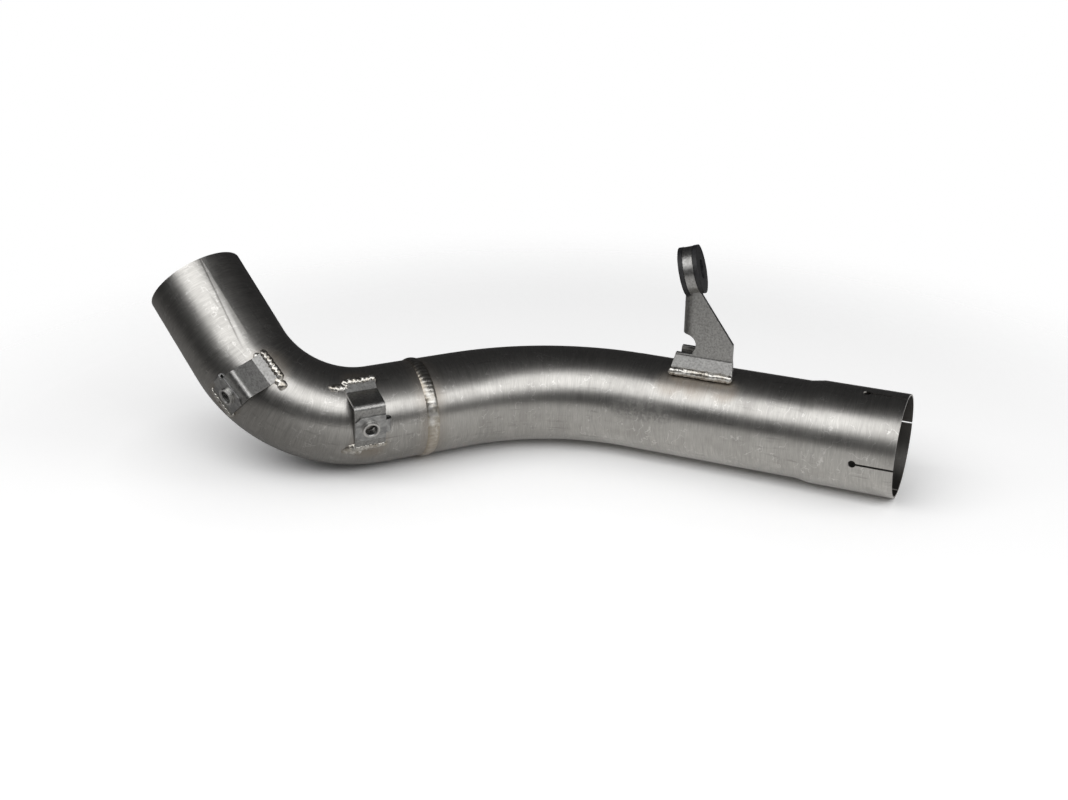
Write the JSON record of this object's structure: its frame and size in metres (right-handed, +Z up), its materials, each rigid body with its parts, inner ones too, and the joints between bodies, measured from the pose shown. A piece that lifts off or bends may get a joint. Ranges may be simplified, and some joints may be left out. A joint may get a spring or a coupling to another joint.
{
  "type": "motorcycle decat pipe",
  "caption": "Bent exhaust link pipe with a slotted clamp socket, a plain inlet spigot, a rubber-bushed hanger and brackets with clip nuts.",
  "frame": {"origin": "centre of the outlet socket's mouth", "axes": "+X along the outlet tube and out of its mouth; +Z up, with the hanger above the tube; the mid bend lies in the XY plane and turns towards -Y"},
  "size_m": [0.3746, 0.161, 0.1166],
  "materials": {
    "tube_steel": "brushed along and round the tube, with scratches",
    "sheet_steel": "rolled sheet with a dull grain",
    "weld_metal": "rippled weld, brown tint beside it",
    "clip_steel": "dark spring steel, worn bright at the rim",
    "rubber": "matt black"
  },
  "bodies": {
    "root": {"outlet_tube": "tube_steel", "elbow_tube": "tube_steel", "joint_weld": "weld_metal", "hanger_bracket": "sheet_steel", "hanger_grommet": "rubber", "hanger_weld_near": "weld_metal", "hanger_weld_far": "weld_metal", "front_bracket": "sheet_steel", "front_clip_nut": "clip_steel", "front_foot_weld": "weld_metal", "front_end_weld": "weld_metal", "rear_bracket": "sheet_steel", "rear_clip_nut": "clip_steel", "rear_foot_weld": "weld_metal", "rear_end_weld": "weld_metal"}
  },
  "joints": []
}
